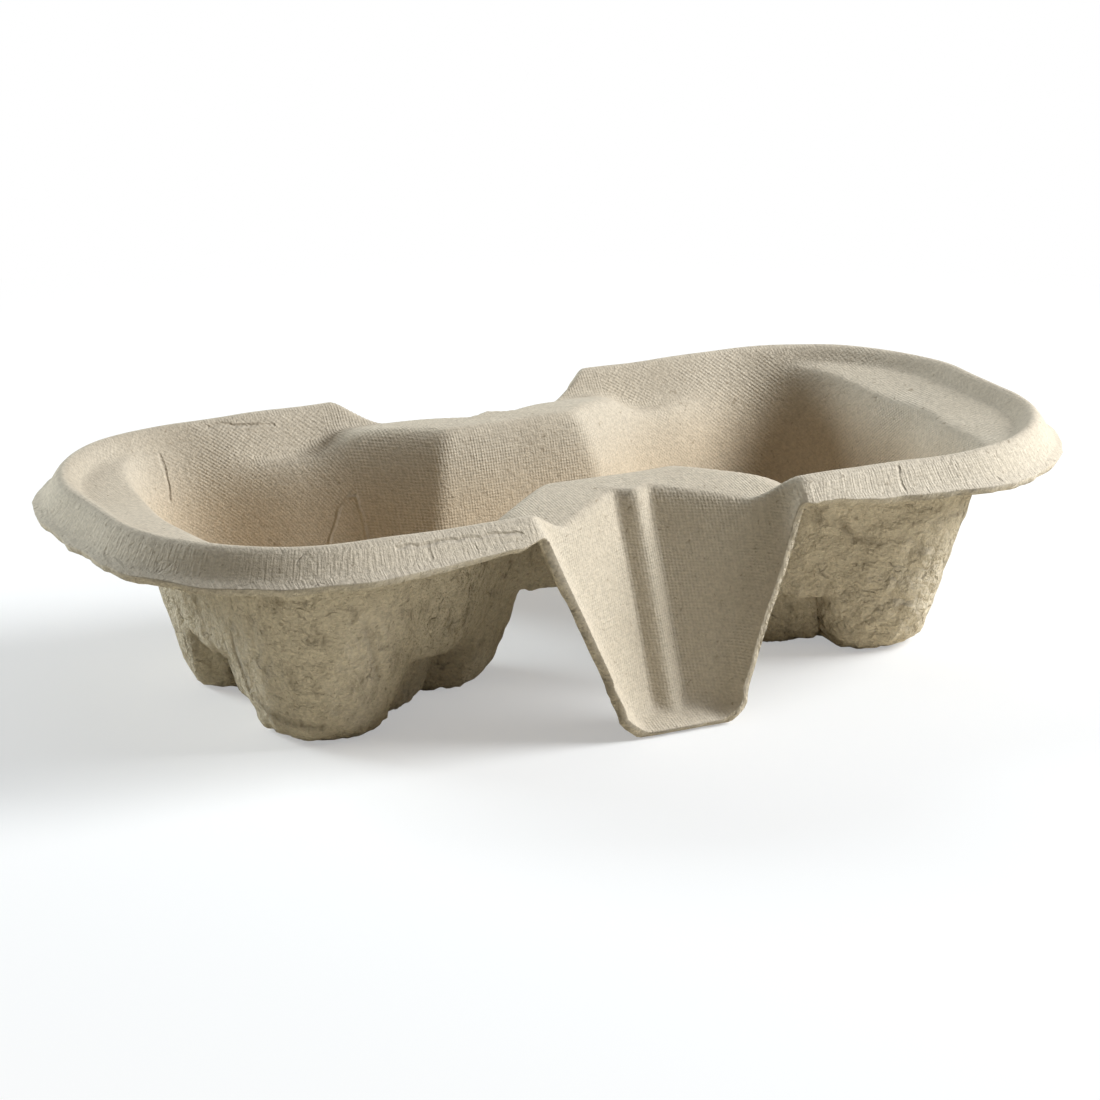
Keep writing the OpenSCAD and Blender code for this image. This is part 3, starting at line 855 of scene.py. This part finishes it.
# Painted shade toward the floors, then painted light on the outside of the lip.
upper_with_painted_shade_and_light = blend_colour(depth, cloudy["upper"], cloudy["shaded_floor"])
upper_with_painted_shade_and_light = blend_colour(times(flare, SHOWS["lip"]), upper_with_painted_shade_and_light, LIP_PAINTED_LIGHT)
colour = blend_colour(upper, cloudy["lower"], upper_with_painted_shade_and_light)
streaked = maths(tree, "MULTIPLY_ADD", upper, SHOWS["streak_change"], SHOWS["streak"])
cracked = times(fibre.outputs["Crack"], maths(tree, "MAXIMUM", bare, times(flare, SHOWS["crack_lip"])))
hollows = maths(tree, "SUBTRACT", 1.0, printed.outputs["Height"])
coats = [(times(fibre.outputs["Crease"], streaked), STREAK_DARK),
         (times(fibre.outputs["Fleck"], SHOWS["fleck"]), FLECK_AND_CREASE_SHADE),
         (times(cracked, SHOWS["crack"]), CRACK_AND_WRINKLE_SHADE),
         # Painted shade: the creases and the wrinkles are darkened where shade falls in them, on top of the
         # grooves that the bump presses in.
         (times(shaded_crease, SHOWS["shaded_crease"]), FLECK_AND_CREASE_SHADE),
         (times(shaded_wrinkles, SHOWS["wrinkle"]), CRACK_AND_WRINKLE_SHADE),
         (times(hollows, times(upper, SHOWS["hollow"])), HOLLOW_DARK)]
for coat, dark in coats:
    colour = blend_colour(coat, colour, dark)
mottled = maths(tree, "MULTIPLY_ADD", upper, SHOWS["mottle_change"], SHOWS["mottle"])
shade = maths(tree, "SUBTRACT", fibre.outputs["Mottle"], 0.5)
shade = maths(tree, "MULTIPLY_ADD", shade, mottled, 1.0)
tint = put(tree, "ShaderNodeVectorMath", operation="SCALE")
wire(tree, colour, tint.inputs[0])
wire(tree, shade, tint.inputs["Scale"])
wire(tree, tint.outputs[0], shader.inputs["Base Color"])
print("coats of dark", len(coats), "over", len(PULP), "colours of pulp")

# %% [markdown]
# Relief too fine for the mesh is left to a bump: above, the print of the screen; below, rough fibre and
# lumps. The lists give each part's height in millimetres, and a minus presses in.

# %% Fine relief
SCREEN_HIGH = 0.12
SCREEN_LIP_CHANGE = -0.06
CRACK_DEEP = -0.5
above = times(printed.outputs["Height"], maths(tree, "MULTIPLY_ADD", flare, SCREEN_LIP_CHANGE, SCREEN_HIGH))
for part, high in ((fibre.outputs["Fuzz"], 0.16), (fibre.outputs["Mottle"], 0.07),
                   (times(printed.outputs["Ribs"], flare), 0.27), (seam, 0.45), (shaded_crease, -0.40)):
    above = maths(tree, "MULTIPLY_ADD", part, high, above)
below = times(fibre.outputs["Fuzz"], 1.5)
for part, high in ((fibre.outputs["Mottle"], 0.20), (fibre.outputs["Crease"], -0.35),
                   (fibre.outputs["Lumps"], 2.1), (shaded_wrinkles, -0.9)):
    below = maths(tree, "MULTIPLY_ADD", part, high, below)
height = put(tree, "ShaderNodeMix", data_type="FLOAT")
wire(tree, upper, height.inputs[0])
wire(tree, below, height.inputs[2])
wire(tree, above, height.inputs[3])
bump = put(tree, "ShaderNodeBump")
bump.inputs["Strength"].default_value = 1.0
bump.inputs["Distance"].default_value = MM
wire(tree, maths(tree, "MULTIPLY_ADD", cracked, CRACK_DEEP, height.outputs[0]), bump.inputs["Height"])
wire(tree, bump.outputs[0], shader.inputs["Normal"])
carrier_mesh.materials.append(pulp)
print("pulp nodes", len(tree.nodes))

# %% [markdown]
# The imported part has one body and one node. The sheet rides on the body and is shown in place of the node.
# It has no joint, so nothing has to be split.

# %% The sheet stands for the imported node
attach(carrier, "root")
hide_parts("cup_carrier")
print("sheet", carrier.name, "stands for cup_carrier")

# %% [markdown]
# The tray is shown on a white sweep. The floor takes a soft shadow near the tray and fades to plain
# white further out, so no horizon shows. A curved backdrop would do it too, but needs more room. Light
# that bounces off the floor is a little warmer than the white that is seen.

# %% Floor
FLOOR_HALF = 0.45
FLOOR_DROP = 0.0004
FLOOR_FADE = {"From Min": 0.16, "From Max": 0.36, "To Min": 0.40, "To Max": 1.0}
floor_bm = bmesh.new()
bmesh.ops.create_grid(floor_bm, x_segments=2, y_segments=2, size=FLOOR_HALF)
floor_mesh = bpy.data.meshes.new("floor")
floor_bm.to_mesh(floor_mesh)
floor_bm.free()
floor = bpy.data.objects.new("floor", floor_mesh)
floor.location.z = -FLOOR_DROP
bpy.context.scene.collection.objects.link(floor)
white = bpy.data.materials.new("white_sweep")
white.use_nodes = True
sweep = white.node_tree
sweep.nodes.clear()


def mix_shaders(tree, fac, a, b):
    node = put(tree, "ShaderNodeMixShader")
    for socket, source in zip(node.inputs, (fac, a, b)):
        wire(tree, source, socket)
    return node.outputs[0]


def lit(colour):
    node = put(sweep, "ShaderNodeBsdfDiffuse")
    node.inputs["Color"].default_value = (*colour, 1.0)
    return node.outputs[0]


from_middle = put(sweep, "ShaderNodeVectorMath", operation="LENGTH")
wire(sweep, put(sweep, "ShaderNodeTexCoord").outputs["Object"], from_middle.inputs[0])
fade = put(sweep, "ShaderNodeMapRange", interpolation_type="SMOOTHSTEP")
for socket, value in FLOOR_FADE.items():
    fade.inputs[socket].default_value = value
wire(sweep, from_middle.outputs["Value"], fade.inputs["Value"])
glow = put(sweep, "ShaderNodeEmission").outputs[0]
seen = mix_shaders(sweep, fade.outputs["Result"], lit((0.95, 0.95, 0.95)), glow)
to_camera = put(sweep, "ShaderNodeLightPath").outputs["Is Camera Ray"]
shown = mix_shaders(sweep, to_camera, lit((0.90, 0.84, 0.70)), seen)
wire(sweep, shown, put(sweep, "ShaderNodeOutputMaterial").inputs["Surface"])
floor_mesh.materials.append(white)
print("floor", 2 * FLOOR_HALF, "m wide")

# %% [markdown]
# Round the tray the world is plain white to the camera. As light it is only a weak warm fill, so that the
# lamps give the tray its form.

# %% World
world = bpy.data.worlds.new("studio")
bpy.context.scene.world = world
world.use_nodes = True
sky = world.node_tree
sky.nodes.clear()


def backdrop(colour, strength):
    node = put(sky, "ShaderNodeBackground")
    node.inputs["Color"].default_value = (*colour, 1.0)
    node.inputs["Strength"].default_value = strength
    return node.outputs[0]


around = mix_shaders(sky, put(sky, "ShaderNodeLightPath").outputs["Is Camera Ray"],
                     backdrop((1.0, 0.93, 0.80), 0.10), backdrop((1.0, 1.0, 1.0), 1.0))
wire(sky, around, put(sky, "ShaderNodeOutputWorld").inputs["Surface"])
print("world", world.name)

# %% [markdown]
# A large lamp on the right gives the main light, a cooler one behind on the left lights the rim, and a
# weak one above opens the shadows. Disks throw softer, rounder shadows than a sun or a spot would.

# %% Lamps
LAMP_AIM = Vector((0, 0, 0.02))


def lamp(name, place, size, power, colour):
    data = bpy.data.lights.new(name, "AREA")
    data.shape = "DISK"
    data.size = size
    data.energy = power
    data.color = colour
    obj = bpy.data.objects.new(name, data)
    obj.location = place
    obj.rotation_euler = (LAMP_AIM - Vector(place)).to_track_quat("-Z", "Y").to_euler()
    bpy.context.scene.collection.objects.link(obj)


lamp("key", (0.98, -0.32, 0.64), 0.70, 22.8, (0.95, 0.98, 1.0))
lamp("back_left", (-0.66, 0.86, 0.44), 0.50, 11.5, (0.86, 0.95, 1.0))
lamp("top", (0.0, 0.1, 1.3), 0.8, 0.7, (1.0, 1.0, 1.0))
print("lamps", [light.name for light in bpy.data.lights])

# %% [markdown]
# The camera stands in front on the left, a little above the rim, with a long lens, so that the tray's
# lines keep nearly the same direction. Its place was fitted to the tray's outline.

# %% Camera
CAMERA_AIM = Vector((-0.0021, 0.0, 0.0229))
camera = bpy.data.objects.new("camera", bpy.data.cameras.new("camera"))
camera.location = (-0.4115, -0.7910, 0.3007)
camera.data.sensor_width = 36.0
camera.data.lens = 146.5
camera.rotation_euler = (CAMERA_AIM - camera.location).to_track_quat("-Z", "Y").to_euler()
bpy.context.scene.collection.objects.link(camera)
bpy.context.scene.camera = camera
bpy.context.scene.view_settings.view_transform = "Standard"
print("camera", round((CAMERA_AIM - camera.location).length, 3), "m from the tray")
